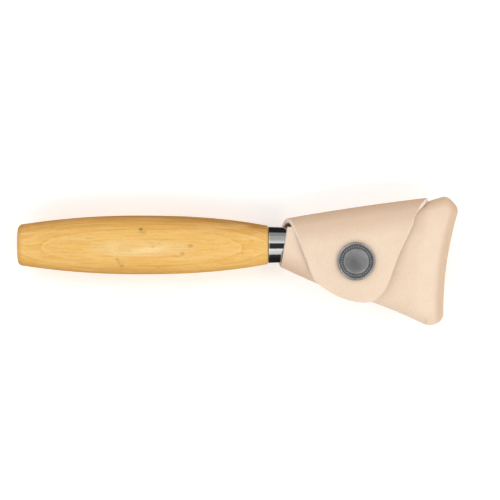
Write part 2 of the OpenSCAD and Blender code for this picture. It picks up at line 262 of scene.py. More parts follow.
def wood_material():
    """Plain-sawn birch: growth rings nearly flat across Z, long fibres along X, oiled. Its darker sides are
    partly painted shade, and its pale top is partly a painted highlight.
    """
    m = Nodes("oiled_birch")
    p = m.coords()
    x, y, z = m.split(p)
    drift = m.noise(m.coords((0.012, 0.05, 0.05)), 1.0, 2, 0.5)
    ripple = m.noise(m.coords((0.05, 0.20, 0.20), (7, 3, 1)), 1.0, 4, 0.6)
    ring = m.math("ADD", z, m.math("MULTIPLY", y, RING_TILT))
    ring = m.math("ADD", ring, m.math("MULTIPLY_ADD", drift, 0.9, -0.45))
    ring = m.math("ADD", ring, m.math("MULTIPLY_ADD", ripple, 0.60, -0.30))
    inner = m.add("MapRange", interpolation_type="SMOOTHSTEP")
    m.link(ring, inner.inputs["Value"])
    inner.inputs["From Min"].default_value = RING_AT
    inner.inputs["From Max"].default_value = RING_AT + RING_STEP
    inner.inputs["To Max"].default_value = CORE_SET_BACK
    ring = m.math("ADD", ring, inner.outputs[0])
    phase = m.math("FRACT", m.math("MULTIPLY_ADD", ring, 1 / RING_STEP, 20 - RING_AT / RING_STEP))
    colour = m.ramp(phase, [(0.0, (0.90, 0.57, 0.180)), (0.06, (0.865, 0.525, 0.148)),
                            (0.45, (0.85, 0.505, 0.128)), (0.80, (0.83, 0.475, 0.108)),
                            (0.96, (0.78, 0.420, 0.084)), (1.0, (0.90, 0.57, 0.180))])
    blotch = m.noise(m.coords((0.05, 0.13, 0.13), (11, 2, 5)), 1.0, 3, 0.55)
    colour = m.blend(m.ramp(blotch, [(0.46, 0.0), (0.72, 0.45)]), colour, (0.78, 0.41, 0.085))
    # Paler near the top of the barrel: partly pale outer wood, partly a painted highlight.
    outer = m.math("MULTIPLY_ADD", ring, 1 / PALE_HIGHLIGHT_SPAN, -PALE_HIGHLIGHT_AT / PALE_HIGHLIGHT_SPAN)
    pale = m.ramp(outer, [(0.45, 0.0), (0.85, 0.85)])
    pale = m.math("MULTIPLY", pale, m.ramp(ripple, [(0.35, 0.3), (0.6, 1.0)]))
    colour = m.blend(pale, colour, (0.94, 0.69, 0.33))
    # Darker towards the sides of the barrel, most on the upper (+Y) side: painted shade, with some real
    # darkening of the edge grain.
    radius = m.math("SQRT", m.math("ADD", m.math("MULTIPLY", y, y), m.math("MULTIPLY", z, z)))
    across = m.math("DIVIDE", y, m.math("MAXIMUM", radius, BUTT_CORE))
    across = m.math("ADD", across, m.math("MULTIPLY_ADD", ripple, 0.12, -0.06))
    forward = m.ramp(m.math("DIVIDE", x, handle_end), [(0.45, 0.0), (0.95, UPPER_SHADE_FRONT_REACH)])
    across = m.math("ADD", across, forward)
    side = m.ramp(m.math("MULTIPLY_ADD", across, 0.5, 0.5), [
        (0.0, (0.80, 0.69, 0.54)), (0.07, (0.91, 0.85, 0.75)), (0.17, (0.99, 0.97, 0.94)),
        (0.30, (1, 1, 1)), (0.76, (1, 1, 1)), (0.81, (0.93, 0.87, 0.78)),
        (0.90, (0.84, 0.75, 0.61)), (0.96, (0.72, 0.60, 0.45)), (1.0, (0.58, 0.46, 0.31))])
    colour = m.times(colour, side)
    butt = m.ramp(m.math("DIVIDE", x, BUTT_FADE), [(0.0, (0.86, 0.78, 0.66)), (0.28, (1, 1, 1))])
    colour = m.times(colour, butt)
    fibre = m.noise(m.coords((0.06, 1.5, 1.5)), 1.0, 5, 0.7)
    fibre_tone = m.ramp(fibre, [(0.28, (0.82, 0.70, 0.50)), (0.42, (0.96, 0.93, 0.87)), (0.58, 1.03)])
    colour = m.times(colour, fibre_tone)
    streak = m.noise(m.coords((0.03, 0.55, 0.55), (4, 8, 2)), 1.0, 4, 0.6)
    colour = m.blend(m.ramp(streak, [(0.50, 0.0), (0.70, 0.42)]), colour, (0.92, 0.64, 0.27))
    pores = m.noise(m.coords((0.35, 6.0, 6.0)), 1.0, 2, 0.5)
    pore_mask = m.ramp(pores, [(0.24, (0.86, 0.74, 0.56)), (0.38, 1.0)])
    colour = m.times(colour, pore_mask)
    fleck = m.noise(m.coords((1.2, 3.2, 3.2)), 1.0, 3, 0.6)
    colour = m.times(colour, m.ramp(fleck, [(0.35, 0.91), (0.62, 1.0)]))
    for place, size, depth in KNOTS:
        near = m.add("VectorMath", operation="DISTANCE")
        m.link(m.coords((1 / size[0], 1 / size[1], 0)), near.inputs[0])
        near.inputs[1].default_value = (place[0] / size[0], place[1] / size[1], 0)
        spot = m.math("MULTIPLY", m.ramp(near.outputs["Value"], [(0.0, 1.0), (0.45, 0.55), (1.0, 0.0)]),
                      m.math("MULTIPLY", m.ramp(z, [(0.0, 0.0), (0.5, 1.0)]), depth))
        colour = m.blend(spot, colour, (0.20, 0.075, 0.018))
    height = m.math("ADD", m.math("MULTIPLY", fibre, 0.8), m.math("MULTIPLY", pore_mask, 0.5))
    rough = m.ramp(fibre, [(0.3, 0.50), (0.7, 0.38)])
    return m.finish(colour, rough, m.bump(height, 0.035), Coat_Weight=0.10, Coat_Roughness=0.28, IOR=1.46)


def grain_leather():
    """Natural vegetable-tanned grain side: fine pores, faint mottling, darker in the folds by painted
    shade, with some real darkening of the worked leather.
    """
    m = Nodes("natural_leather")
    p = m.coords()
    mottle = m.noise(p, 0.16, 4, 0.6)
    fine = m.noise(p, 1.9, 3, 0.6)
    colour = m.ramp(mottle, [(0.25, (0.840, 0.652, 0.490)), (0.52, (0.860, 0.675, 0.512)),
                             (0.76, (0.874, 0.694, 0.534))])
    colour = m.times(colour, m.ramp(fine, [(0.30, 0.93), (0.60, 1.0)]))
    grit = m.noise(p, 4.2, 2, 0.6)
    colour = m.times(colour, m.ramp(grit, [(0.28, 0.90), (0.55, 1.0)]))
    # The fold attribute darkens the folds: painted shade, with some real darkening of the worked leather.
    fold = m.math("MULTIPLY", m.attribute("fold"), 0.85)
    colour = m.blend(fold, colour, (0.50, 0.300, 0.168))
    pores = m.cells(p, 2.6)
    pore = m.ramp(pores, [(0.05, 0.0), (0.22, 1.0)])
    colour = m.times(colour, m.ramp(pores, [(0.0, 0.93), (0.16, 1.0)]))
    height = m.math("ADD", m.math("MULTIPLY", pore, 0.5), m.math("MULTIPLY", fine, 0.9))
    wrinkle = m.noise(m.coords((0.5, 1.6, 1.6)), 1.0, 3, 0.6)
    height = m.math("ADD", height, m.math("MULTIPLY", m.math("MULTIPLY", wrinkle, fold), 2.0))
    return m.finish(colour, m.ramp(fine, [(0.3, 0.66), (0.7, 0.56)]), m.bump(height, 0.03),
                    Specular_IOR_Level=0.34, Sheen_Weight=0.06, Sheen_Roughness=0.5)


def flesh_leather():
    """The rough inner side."""
    m = Nodes("leather_flesh_side")
    p = m.coords()
    nap = m.noise(p, 3.2, 5, 0.7, 0.6)
    cloud = m.noise(p, 0.35, 3, 0.5)
    colour = m.ramp(nap, [(0.25, (0.56, 0.41, 0.29)), (0.7, (0.78, 0.62, 0.47))])
    colour = m.blend(0.35, colour, m.ramp(cloud, [(0.3, (0.62, 0.47, 0.34)), (0.7, (0.80, 0.65, 0.50))]))
    return m.finish(colour, 0.92, m.bump(nap, 0.12), Sheen_Weight=0.25, Sheen_Roughness=0.6)


def cut_leather():
    """The pale fibrous cut edge, with its layers along the sheet."""
    m = Nodes("leather_cut_edge")
    p = m.coords()
    fibre = m.noise(p, 4.5, 5, 0.75, 1.2)
    speck = m.noise(p, 1.4, 3, 0.6)
    colour = m.ramp(fibre, [(0.22, (0.52, 0.38, 0.29)), (0.46, (0.84, 0.70, 0.59)),
                            (0.78, (0.92, 0.82, 0.73))])
    colour = m.blend(0.4, colour, m.ramp(speck, [(0.3, (0.66, 0.52, 0.43)), (0.7, (0.92, 0.83, 0.75))]))
    return m.finish(colour, 0.88, m.bump(fibre, 0.10))


def metal(name, base, rough, streak=(1, 1, 1), scale=1.0, depth=0.004, spread=0.08, contrast=0.12,
          **fixed):
    """Metal with fine directional marks, uneven gloss and a faint cloudiness."""
    m = Nodes(name)
    marks = m.noise(m.coords(streak), scale, 4, 0.6)
    cloud = m.noise(m.coords(), 0.4, 3, 0.5)
    dark = tuple(c * (1 - contrast) for c in base)
    colour = m.ramp(m.math("ADD", m.math("MULTIPLY", marks, 0.5), m.math("MULTIPLY", cloud, 0.5)),
                    [(0.3, dark), (0.7, base)])
    gloss = m.ramp(marks, [(0.3, rough + spread), (0.7, max(0.02, rough - spread / 2))])
    return m.finish(colour, gloss, m.bump(marks, depth), Metallic=1.0, **fixed)


# ---- meshes


def make_object(name, verts, faces, materials, faces_mat=None, attributes=None):
    """Mesh object from points in millimetres."""
    mesh = bpy.data.meshes.new(name)
    mesh.from_pydata([[c * MM for c in v] for v in verts], [], faces)
    for mat in materials:
        mesh.materials.append(mat)
    if faces_mat is not None:
        mesh.polygons.foreach_set("material_index", faces_mat)
    mesh.polygons.foreach_set("use_smooth", [True] * len(mesh.polygons))
    for key, values in (attributes or {}).items():
        layer = mesh.attributes.new(key, "FLOAT", "POINT")
        layer.data.foreach_set("value", values)
    mesh.validate()
    mesh.update()
    obj = bpy.data.objects.new(name, mesh)
    bpy.context.scene.collection.objects.link(obj)
    return obj


def revolve(name, profile, material, centre=(0, 0, 0), along="z", steps=160):
    """Body of revolution. The profile is (radius, height) pairs; a zero radius closes it."""
    verts, faces, rows = [], [], []
    for r, h in profile:
        row = []
        for k in range(1 if r == 0 else steps):
            a = radians(360.0 * k / steps)
            cx, cy = r * cos(a), r * sin(a)
            point = (cx, cy, h) if along == "z" else (h, cx, cy)
            row.append(len(verts))
            verts.append([c + o for c, o in zip(point, centre)])
        rows.append(row)
    for low, high in zip(rows, rows[1:]):
        for k in range(steps):
            n = (k + 1) % steps
            if len(low) == 1 and len(high) == 1:
                continue
            if len(low) == 1:
                faces.append((low[0], high[n], high[k]))
            elif len(high) == 1:
                faces.append((low[k], low[n], high[0]))
            else:
                faces.append((low[k], low[n], high[n], high[k]))
    obj = make_object(name, verts, faces, [material])
    fix_normals(obj)
    return obj


def fix_normals(obj):
    bm = bmesh.new()
    bm.from_mesh(obj.data)
    bmesh.ops.recalc_face_normals(bm, faces=bm.faces)
    bm.to_mesh(obj.data)
    bm.free()


def crease(obj, degrees):
    """Shades faces flat across edges sharper than the angle."""
    bm = bmesh.new()
    bm.from_mesh(obj.data)
    for e in bm.edges:
        e.smooth = len(e.link_faces) == 2 and e.calc_face_angle(0) < radians(degrees)
    bm.to_mesh(obj.data)
    bm.free()


def rounded(corners, radius):
    """Profile with each inner corner turned into a small arc of about the given radius."""
    steps = 5
    pts = [Vector(c) for c in corners]
    out = [tuple(pts[0])]
    for a, b, c in zip(pts, pts[1:], pts[2:]):
        reach = min(radius, (a - b).length * 0.45, (c - b).length * 0.45)
        start, end = b + (a - b).normalized() * reach, b + (c - b).normalized() * reach
        for k in range(steps + 1):
            t = k / steps
            out.append(tuple(start * (1 - t) ** 2 + b * (2 * t * (1 - t)) + end * t * t))
    out.append(tuple(pts[-1]))
    return out


# Angles round a cut edge from the grain side to the flesh side, and how far the edge stands out
RIM = [radians(a) for a in (90, 68, 45, 22, 0, -22, -45, -68, -90)]
RIM_STAND = 0.22
# Points closer than this are joined, so that neighbouring grids become one sheet
SAME_POINT = 1e-4


def leather(name, points, faces, fold, joined, slant, up_at):
    """Leather from a middle surface: grain skin, flesh skin and rounded, fibrous cut edges.

    joined holds the numbers of the points where the sheet goes on into another piece, so its
    edge stays square. slant says how far the flesh side stands out past the grain side at an
    edge point. up_at is a point number whose outside faces +Z.
    """
    bm = bmesh.new()
    # The fold layer carries each point's painted fold shade, with some real tan, to the grain material.
    layer = bm.verts.layers.float.new("fold")
    mark = bm.verts.layers.int.new("joined")
    lean = bm.verts.layers.float.new("lean")
    verts = [bm.verts.new(p) for p in points]
    for f in faces:
        if len(set(f)) > 2:
            bm.faces.new([verts[i] for i in dict.fromkeys(f)])
    for v, value in zip(verts, fold):
        v[layer] = value
    for i in joined:
        verts[i][mark] = 1
    for i, value in slant.items():
        verts[i][lean] = value
    probe = tuple(points[up_at])
    bmesh.ops.remove_doubles(bm, verts=bm.verts, dist=SAME_POINT)
    bmesh.ops.delete(bm, geom=[v for v in bm.verts if not v.link_faces], context="VERTS")
    bmesh.ops.recalc_face_normals(bm, faces=bm.faces)
    bm.normal_update()
    near = min(bm.verts, key=lambda v: (v.co - Vector(probe)).length)
    if near.normal.z < 0:
        bmesh.ops.reverse_faces(bm, faces=bm.faces)
        bm.normal_update()
    bm.verts.index_update()
    count = len(bm.verts)
    base = [v.co.copy() for v in bm.verts]
    normal = [v.normal.copy() for v in bm.verts]
    shade = [v[layer] for v in bm.verts]
    fixed = [v[mark] for v in bm.verts]
    leaning = [v[lean] for v in bm.verts]
    # direction out of the sheet at each point of its edges
    out, loops = {}, []
    for e in bm.edges:
        if e.is_boundary:
            loop = e.link_loops[0]
            a, b = loop.vert.index, loop.link_loop_next.vert.index
            inward = e.link_faces[0].calc_center_median() - (base[a] + base[b]) / 2
            along = (base[b] - base[a]).normalized()
            inward -= along * inward.dot(along)
            for k in (a, b):
                out.setdefault(k, Vector())
                out[k] -= inward.normalized()
            loops.append((a, b))
    skins = [b + n * half_t for b, n in zip(base, normal)]
    skins += [b - n * half_t for b, n in zip(base, normal)]
    new_faces = [[v.index for v in f.verts] for f in bm.faces]
    bm.free()
    kinds = [0] * len(new_faces)
    inner = [[i + count for i in reversed(f)] for f in new_faces]
    kinds += [1] * len(inner)
    new_faces += inner
    attribute = shade + shade
    ring = {}
    for k, direction in out.items():
        o = direction - normal[k] * direction.dot(normal[k])
        o = o.normalized() if o.length > 1e-6 else Vector((0, 0, 0))
        reach = 0.0 if fixed[k] else RIM_STAND
        row = [k]
        for a in RIM[1:-1]:
            rough = 1 + 0.3 * noise.noise(base[k] * 2.2 + Vector((0, 0, a * 3)))
            stand = reach * abs(cos(a)) ** 0.6 * rough + leaning[k] * (1 - sin(a)) / 2
            row.append(len(skins))
            skins.append(base[k] + o * stand + normal[k] * (half_t * bent(sin(a), 0.75)))
            attribute.append(shade[k])
        skins[k + count] += o * leaning[k]
        row.append(k + count)
        ring[k] = row
    for a, b in loops:
        for s in range(len(RIM) - 1):
            quad = [ring[b][s], ring[a][s], ring[a][s + 1], ring[b][s + 1]]
            new_faces.append(quad)
            kinds.append(0 if s == 0 and not (fixed[a] and fixed[b]) else 2)
    obj = make_object(name, skins, new_faces, [GRAIN, FLESH, CUT], kinds, {"fold": attribute})
    return obj


def grid_faces(rows):
    """Quads of a list of rows of point numbers."""
    return [(a[j], a[j + 1], b[j + 1], b[j]) for a, b in zip(rows, rows[1:]) for j in range(len(a) - 1)]


def tube_faces(rows):
    """Quads round a list of closed rings of point numbers, with both ends shut."""
    n = len(rows[0])
    faces = [(a[k], a[(k + 1) % n], b[(k + 1) % n], b[k]) for a, b in zip(rows, rows[1:]) for k in range(n)]
    return faces + [tuple(rows[0]), tuple(reversed(rows[-1]))]


# How far the cut edges lean out, so that they show from above
MOUTH_SLANT = 0.45
LEFT_SLANT = 0.85
RIGHT_SLANT = 0.7


# ---- outline of the sheath

# Outlines and folds are those of the leather's middle, half its thickness inside what is seen
LOWER = ((108.9, -8.3), (168.2, -31.95))    # ends of the lower edge
LOWER_WAVE = 0.7                            # how far it waves off a straight line
LOWER_FOLD = 4.0                            # depth of the fold along it
END_FOLD = 1.4                              # depth of the fold at the end
TAB_FOLD = 2.0                              # depth of the fold along the tab
TAB_DROP = 3.2                              # how far the tab goes on below its fold
END_AT = (175.3, -27.0)                     # nearest point of the end's hollow curve
END_FLARE = 0.0036                          # how fast the end flares from there
SLOPE = 12.0                                # length over which the pouch closes
FOLD_SHADE_FROM = 118.0                           # where the lower fold's painted shade starts to fade
FOLD_SHADE_OVER = 30.0                            # length over which it does
LOWER_FOLD_SHADE_AND_TAN = (0.60, 0.15)                    # how dark the lower fold is, at its ends: painted shade, with some real tan
FOLD_SHADE_PAST = 3.0                             # how far past the fold that painted shade goes on
END_FOLD_SHADE_AND_TAN = 0.6                              # how dark the fold at the end is: painted shade, with some real tan
END_TONE_REACH = 4.5                        # how far in from the end that shows
TAB_SHADE_AND_TAN = (0.8, 0.5)                       # how dark the tab is, in its fold and below it: painted shade, with some real tan
TAB_EDGE_SHADE_AND_TAN = ((4.0, 0.6), (18.0, 0.2))  # reach and strength of the painted shade beside the tab
MOUTH_END = 114.0                           # where the mouth's extra depth starts to run out
MOUTH_SPAN = 20.0                           # length over which it does
WING = 17.0                                 # length of the wing inside the pouch
WING_TAPER = (6.5, 5.5)                     # how much it narrows, below and above
CLOSED_Z = 0.2 + half_t                     # middle of the leather where the pouch is shut
ROOT = ((111.2, 6.5), (168.5, 14.9))        # line where the upper fold meets the panels
TOP_FOLD = 4.5                              # how far the upper fold stands out past that line
TOP_BULGE = 0.4                             # how much further it does at its middle
FRONT_MOUTH = (111.4, 7.0)                  # upper end of the mouth's front edge
BACK_MOUTH = ((107.8, -4.3), (108.6, 6.5))  # ends of the mouth's back edge
TAB = ((161.5, 14.35), (165.6, 15.7), (169.3, 17.0), (172.2, 17.95), (175.6, 18.95))
LOW_CLIP = ((168.2, -31.95), (170.6, -32.05), (173.1, -30.9), (174.3, -29.0))
TOP_CLIP = ((175.6, 18.95), (177.2, 18.45), (179.1, 16.6), (180.2, 15.0), (180.3, 13.4))
LOW_SHARE = 0.88                            # share of the columns on the lower fold
TAB_SHARES = (0.78, 0.92)                   # share where the tab starts, and where it ends


def root_y(x):
    return mix(ROOT[0][1], ROOT[1][1], (x - ROOT[0][0]) / (ROOT[1][0] - ROOT[0][0]))


def lower_y(x):
    t = (x - LOWER[0][0]) / (LOWER[1][0] - LOWER[0][0])
    return mix(LOWER[0][1], LOWER[1][1], t) - LOWER_WAVE * sin(2 * math.pi * clamp01(t))


def end_x(y):
    """Middle of the leather in the fold at the sheath's end."""
    return END_AT[0] - half_t + END_FLARE * (y - END_AT[1]) ** 2


def opening(x, y):
    return smooth((end_x(y) - x - END_FOLD) / (SLOPE - END_FOLD))


def front_mid_z(x, y):
    rise = (mouth_z - front_z) * (1 - smooth((x - MOUTH_END) / MOUTH_SPAN))
    return mix(CLOSED_Z, front_z + rise, opening(x, y))


def wing_mid_z(x, y):
    return -mix(CLOSED_Z, front_z + 0.1, opening(x, y))


def low_edge(u):
    """Lower edge of the front, at the middle of its fold."""
    if u <= LOW_SHARE:
        x = mix(LOWER[0][0], LOWER[1][0], u / LOW_SHARE)
        return Vector((x, lower_y(x)))
    return spline(LOW_CLIP, (u - LOW_SHARE) / (1 - LOW_SHARE))


def top_edge(u):
    """Upper edge of the front: hidden under the flap, then the tab's fold, then the corner."""
    start, end = TAB_SHARES
    if u <= start:
        x = mix(FRONT_MOUTH[0], TAB[0][0], u / start)
        return Vector((x, mix(FRONT_MOUTH[1], TAB[0][1], u / start)))
    if u <= end:
        return spline(TAB, (u - start) / (end - start))
    return spline(TOP_CLIP, (u - end) / (1 - end))


def lower_mid_z(u):
    """Height of the fold line along the front's lower edge."""
    if u > LOW_SHARE:
        return mix((front_z + back_mid_z) / 2, 0, smooth((u - LOW_SHARE) / (1 - LOW_SHARE)))
    x = low_edge(u).x
    return (front_mid_z(x, lower_y(x) + LOWER_FOLD) + back_mid_z) / 2


def tab_curl(x):
    """How far the front's upper edge turns down: 0 under the flap, 1 on the tab."""
    return smooth((x - TAB[0][0]) / (TAB[2][0] - 1.0 - TAB[0][0]))


# Rows and columns of the sheath's grids
ANGLE_ROWS = 9
MAIN_ROWS = 62
MAIN_COLUMNS = 120
END_COLUMNS = 8
WING_COLUMNS = 20
TAB_ROWS = 6


def front_column(u):
    """One column of the front's middle surface, with the painted fold shade, and some real tan, of each of
    its points.
    """
    a, b = low_edge(u), top_edge(u)
    length = b.y - a.y
    corner = clamp01((u - LOW_SHARE) / (1 - LOW_SHARE))
    depth = mix(LOWER_FOLD, END_FOLD, corner)
    curl = tab_curl(b.x)
    turn = TAB_FOLD * curl
    turned = [radians(90 * k / ANGLE_ROWS) for k in range(ANGLE_ROWS + 1)]
    stops = [(depth * (1 - cos(t)), sin(t), 1.0) for t in turned[:-1]]
    stops += [(mix(depth, length - turn, k / MAIN_ROWS), 1.0, 1.0) for k in range(MAIN_ROWS + 1)]
    stops += [(length - turn * (1 - cos(t)), 1.0, mix(1.0, sin(t), curl))
              for t in reversed(turned[:-1])]
    column, shade = [], []
    for run, lift, top_lift in stops:
        f = run / length
        p = a.lerp(b, f)
        straight = mix(low_edge(1.0).x, top_edge(1.0).x, f)
        limit = end_x(mix(low_edge(1.0).y, top_edge(1.0).y, f))
        x, y = p.x + (limit - straight) * u ** 6, p.y
        gap = end_x(y) - x
        side = math.sqrt(max(0.0, 1 - max(0.0, (END_FOLD - gap) / END_FOLD) ** 2))
        base = lower_mid_z(u) * (1 - f)
        column.append((x, y, base + (front_mid_z(x, y) - base) * lift * top_lift * side))
        # Painted shade along the lower fold, in the fold at the end and beside the tab, with some real tan.
        tone = mix(*LOWER_FOLD_SHADE_AND_TAN, smooth((x - FOLD_SHADE_FROM) / FOLD_SHADE_OVER))
        low_fold_shade = smooth(1 - run / (depth + FOLD_SHADE_PAST)) * tone
        end_fold_shade = smooth(1 - gap / END_TONE_REACH) * END_FOLD_SHADE_AND_TAN
        tab_shade = curl * sum(smooth(1 - (length - run) / reach) * dark for reach, dark in TAB_EDGE_SHADE_AND_TAN)
        shade.append(max(low_fold_shade, end_fold_shade, tab_shade))
    return column, shade


def sheath_leather():
    """The pouch: front, lower fold and back, end wing and tab, as one sheet of leather."""
    shares = {k / MAIN_COLUMNS for k in range(MAIN_COLUMNS + 1)} | {LOW_SHARE, *TAB_SHARES}
    us = sorted(shares)
    columns, shades = zip(*(front_column(u) for u in us))
    points, fold, faces = [], [], []

    # Each value in dark is a point's painted fold shade, with some real tan.
    def add(grid, dark):
        rows = []
        for line, values in zip(grid, dark):
            rows.append(list(range(len(points), len(points) + len(line))))
            points.extend(line)
            fold.extend(values)
        faces.extend(grid_faces(rows))
        return rows

    front_rows = add(columns, shades)
    slant = {k: MOUTH_SLANT for k in front_rows[0]}

    # lower fold and back panel
    back, dark = [], []
    for u, column, shade in zip(us, columns, shades):
        if u > LOW_SHARE:
            break
        k = u / LOW_SHARE
        x0, y0, z0 = column[0]
        half = z0 - back_mid_z
        line, values = [], []
        for j in range(2 * ANGLE_ROWS + 1):
            t = radians(90 * j / (2 * ANGLE_ROWS))
            shift = (BACK_MOUTH[0][0] - LOWER[0][0]) * (1 - k) * sin(t)
            line.append((x0 + shift, y0 + LOWER_FOLD * (1 - cos(t)), z0 - half * sin(t)))
            values.append(shade[0] * max(0.0, cos(t)) ** 0.7)
        x1, y1 = line[-1][0], line[-1][1]
        x2 = mix(BACK_MOUTH[1][0], ROOT[1][0], k)
        y2 = root_y(x2)
        for j in range(1, MAIN_ROWS + 1):
            t = j / MAIN_ROWS
            line.append((mix(x1, x2, t), mix(y1, y2, t), back_mid_z))
            values.append(0.0)
        back.append(line)
        dark.append(values)
    back_rows = add(back, dark)
    joined = [row[-1] for row in back_rows]

    # tight fold at the end, then the wing inside the pouch
    last = columns[-1]
    wing, dark = [], []
    for x0, y0, z0 in last:
        line, values = [], []
        for k in range(END_COLUMNS + 1):
            t = radians(90 * k / END_COLUMNS)
            line.append((end_x(y0) - END_FOLD * (1 - cos(t)), y0, z0 - CLOSED_Z * sin(t)))
            values.append(END_FOLD_SHADE_AND_TAN)
        line[0] = (x0, y0, z0)
        share = (y0 - last[0][1]) / (last[-1][1] - last[0][1])
        for k in range(1, WING_COLUMNS + 1):
            t = k / WING_COLUMNS
            y = mix(last[0][1] + WING_TAPER[0] * t, last[-1][1] - WING_TAPER[1] * t, share)
            x = end_x(y) - END_FOLD - t * (WING - END_FOLD)
            line.append((x, y, wing_mid_z(x, y)))
            values.append(END_FOLD_SHADE_AND_TAN * (1 - smooth(t * 2)))
        wing.append(line)
        dark.append(values)
    add(wing, dark)

    # tab folded in beside the flap
    flat, dark = [], []
    for u, column in zip(us, columns):
        x0, y0, z0 = column[-1]
        if tab_curl(top_edge(u).x) < 0.9 or u > TAB_SHARES[1]:
            continue
        lowest = wing_mid_z(x0, y0 - TAB_FOLD)
        line, values = [], []
        for k in range(2 * END_COLUMNS + 1):
            t = radians(90 * k / (2 * END_COLUMNS))
            line.append((x0, y0 - TAB_FOLD * (1 - cos(t)), z0 + (lowest - z0) * sin(t)))
            values.append(TAB_SHADE_AND_TAN[0])
        for k in range(1, TAB_ROWS + 1):
            y = y0 - TAB_FOLD - TAB_DROP * k / TAB_ROWS
            line.append((x0, y, wing_mid_z(x0, y)))
            values.append(TAB_SHADE_AND_TAN[1])
        flat.append(line)
        dark.append(values)
    add(flat, dark)
    middle = front_rows[len(front_rows) // 2][len(columns[0]) // 2]
    return leather("sheath_leather", points, faces, fold, joined, slant, up_at=middle)


# ---- flap

FLAP_LEFT = [(114.2, 6.9), (116.1, 2.5), (117.7, -1.6), (119.2, -5.4), (120.8, -9.7), (122.4, -13.2),
             (124.3, -15.9), (126.4, -17.8)]
FLAP_TIP = [(126.4, -17.8), (130.3, -20.1), (133.6, -21.5), (137.0, -22.6), (141.0, -23.2),
            (144.6, -23.1), (147.6, -21.7)]
FLAP_RIGHT = [(164.4, 14.3), (163.0, 12.0), (161.2, 7.5), (159.4, 3.3), (157.7, -0.6), (155.7, -5.3),
              (153.9, -10.2), (152.2, -14.8), (150.4, -18.6), (147.6, -21.7)]
FOLD_POWER = 2 / 2.2               # how square the upper fold's round is: 1 is a true arc
FLAP_COLUMNS = 96
FOLD_ROWS = 48
TONGUE_ROWS = 72
SNAP_HOLD = (8.8, 13.0)            # radius that the snap holds level, and the width of the fall outside it
ROOT_HOLD = 16.0                   # distance from the root line over which the fall builds up
DRAPE = 0.8                        # share of the way down to the front that the flap sinks
DRAPE_GAP = 0.35                   # gap that it would leave there
DENT = (0.22, 9.0)                 # depth and radius of the dent that the snap presses
SHOULDER = (9.0, 1.3)              # how far below the root the flap starts to fall, and its drop there
FLAP_FOLD_SHADE_AND_TAN = 0.46                   # how dark the flap is at the upper fold: painted shade, with some real tan
FLAP_TONE_SPAN = 10.0              # distance over which that fades


def flap_drape(x, y):
    """Height of the flap's middle surface: level over the snap, sinking to the front round it."""
    away = math.hypot(x - snap_x, y - snap_y)
    free = DRAPE * smooth((away - SNAP_HOLD[0]) / SNAP_HOLD[1]) * smooth((root_y(x) - y) / ROOT_HOLD)
    floor = front_mid_z(x, max(y, lower_y(min(x, LOWER[1][0])) + LOWER_FOLD)) + leather_t + DRAPE_GAP
    dent = DENT[0] * math.exp(-((away / DENT[1]) ** 4))
    return mix(flap_mid_z, min(flap_mid_z, floor), free) - dent - shoulder(x, y)


def shoulder(x, y):
    """Drop of the flap towards the upper fold, so that the bend starts gently."""
    reach, drop = SHOULDER
    return drop * max(0.0, (y - root_y(x) + reach) / reach) ** 2


def flap_leather():
    """The upper fold and the tongue of the flap, as one sheet that goes on from the back panel."""
    rows, dark = [], []
    for j in range(FOLD_ROWS + 1):
        v = j / FOLD_ROWS
        a = radians(-90 + 180 * v)
        row, values = [], []
        for i in range(FLAP_COLUMNS + 1):
            left = mix(BACK_MOUTH[1][0], FLAP_LEFT[0][0], v ** 1.15)
            right = mix(ROOT[1][0], FLAP_RIGHT[0][0], max(0.0, 2 * v - 1) ** 1.5)
            x = mix(left, right, i / FLAP_COLUMNS)
            across = (x - ROOT[0][0]) / (ROOT[1][0] - ROOT[0][0])
            depth = TOP_FOLD - half_t + 4 * TOP_BULGE * max(0.0, across * (1 - across))
            y = root_y(x) + depth * bent(cos(a), FOLD_POWER)
            z = hinge_z + (flap_mid_z - hinge_z) * bent(sin(a), FOLD_POWER)
            row.append((x, y, z - shoulder(x, y) * smooth(sin(a))))
            # Painted shade in the upper fold, darkest at its outer edge and fading onto the tongue, with
            # some real tan.
            values.append(mix(FLAP_FOLD_SHADE_AND_TAN * smooth(sin(a)), 1.0, max(0.0, cos(a))))
        rows.append(row)
        dark.append(values)
    root = [Vector(p[:2]) for p in rows[-1]]
    left = [root[0], *(Vector(p) for p in FLAP_LEFT[1:])]
    right = [root[-1], *(Vector(p) for p in FLAP_RIGHT[1:])]
    for j in range(1, TONGUE_ROWS + 1):
        v = j / TONGUE_ROWS
        from_left, from_right = spline(left, v), spline(right, v)
        row = []
        for i in range(FLAP_COLUMNS + 1):
            u = i / FLAP_COLUMNS
            corners = root[0].lerp(root[-1], u).lerp(left[-1].lerp(right[-1], u), v)
            p = root[i].lerp(spline(FLAP_TIP, u), v) + from_left.lerp(from_right, u) - corners
            row.append((p.x, p.y, flap_drape(p.x, p.y)))
        rows.append(row)
        dark.append([FLAP_FOLD_SHADE_AND_TAN * smooth(1 - (root_y(x) - y) / FLAP_TONE_SPAN) for x, y, _ in row])
    width = FLAP_COLUMNS + 1
    numbers = [list(range(k * width, (k + 1) * width)) for k in range(len(rows))]
    slant = {}
    for k, row in enumerate(numbers):
        below = clamp01((k - FOLD_ROWS) / TONGUE_ROWS)
        over = smooth((k - FOLD_ROWS / 2) / (FOLD_ROWS / 2))
        slant[row[0]] = LEFT_SLANT * over * (1 - smooth((below - 0.8) / 0.2))
        slant[row[-1]] = RIGHT_SLANT * smooth((below - 0.04) / 0.16) * (1 - smooth((below - 0.25) / 0.35))
    points = [p for row in rows for p in row]
    fold = [value for row in dark for value in row]
    return leather("flap_leather", points, grid_faces(numbers), fold, numbers[0], slant,
                   up_at=numbers[-4][FLAP_COLUMNS // 2])


# ---- knife


